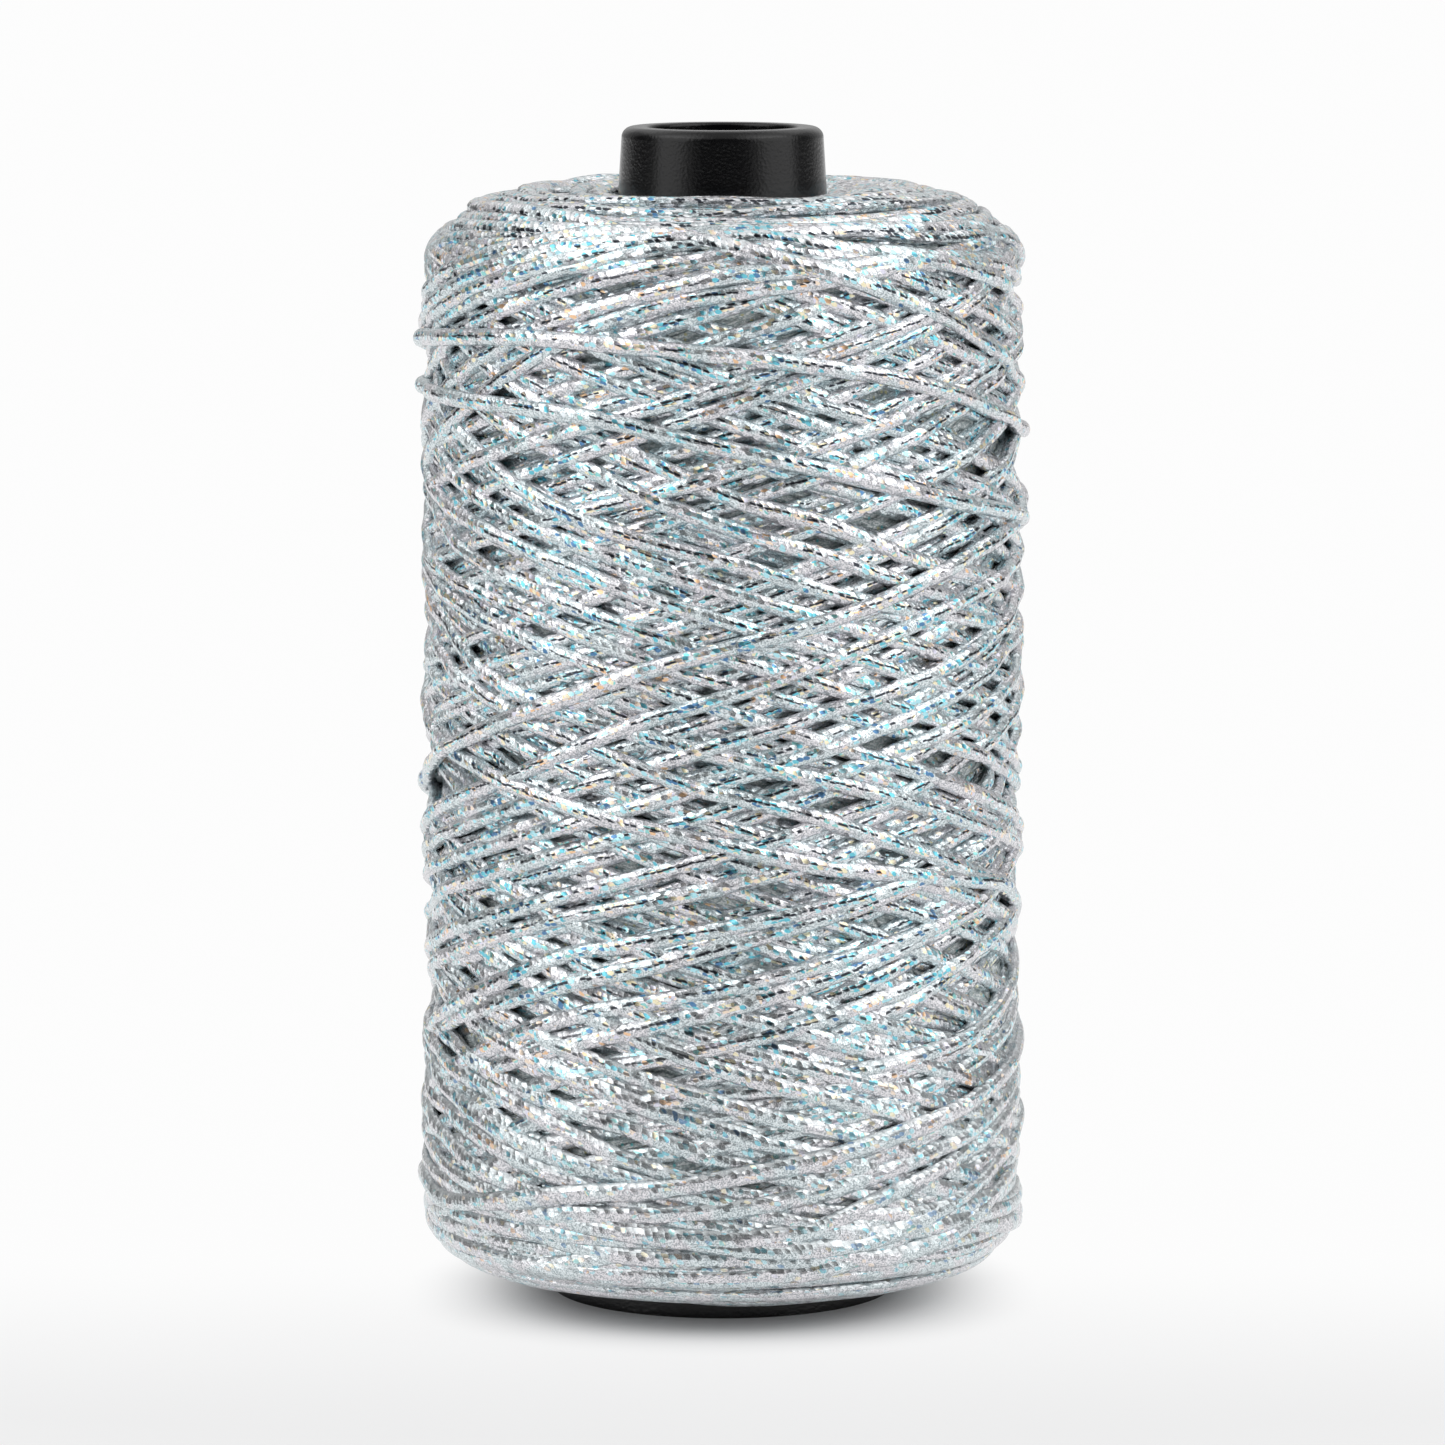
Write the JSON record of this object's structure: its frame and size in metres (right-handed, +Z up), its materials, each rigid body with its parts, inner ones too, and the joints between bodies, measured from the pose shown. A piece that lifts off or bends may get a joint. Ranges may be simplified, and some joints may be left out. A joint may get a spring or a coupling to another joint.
{
  "type": "wound cord cone",
  "caption": "Conical moulded tube with a cross-wound package of flat metallic cord, open from foot to nose so that it drops over a peg.",
  "frame": {"origin": "centre of the tube's foot, on the surface that the package stands on", "axes": "+Z up the tube's axis, from the wide foot to the narrow nose; X and Y are across, and the package is round about Z"},
  "size_m": [0.0874, 0.0874, 0.17],
  "materials": {
    "tube_plastic": "satin, leathery moulded skin",
    "wound_cord": "knitted metallic cord in the shade of the outer turns",
    "metallic_cord": "silver metallic flat cord with coloured glints"
  },
  "bodies": {
    "root": {"cone_tube": "tube_plastic", "wound_body": "wound_cord", "outer_turns": "metallic_cord"}
  },
  "joints": []
}
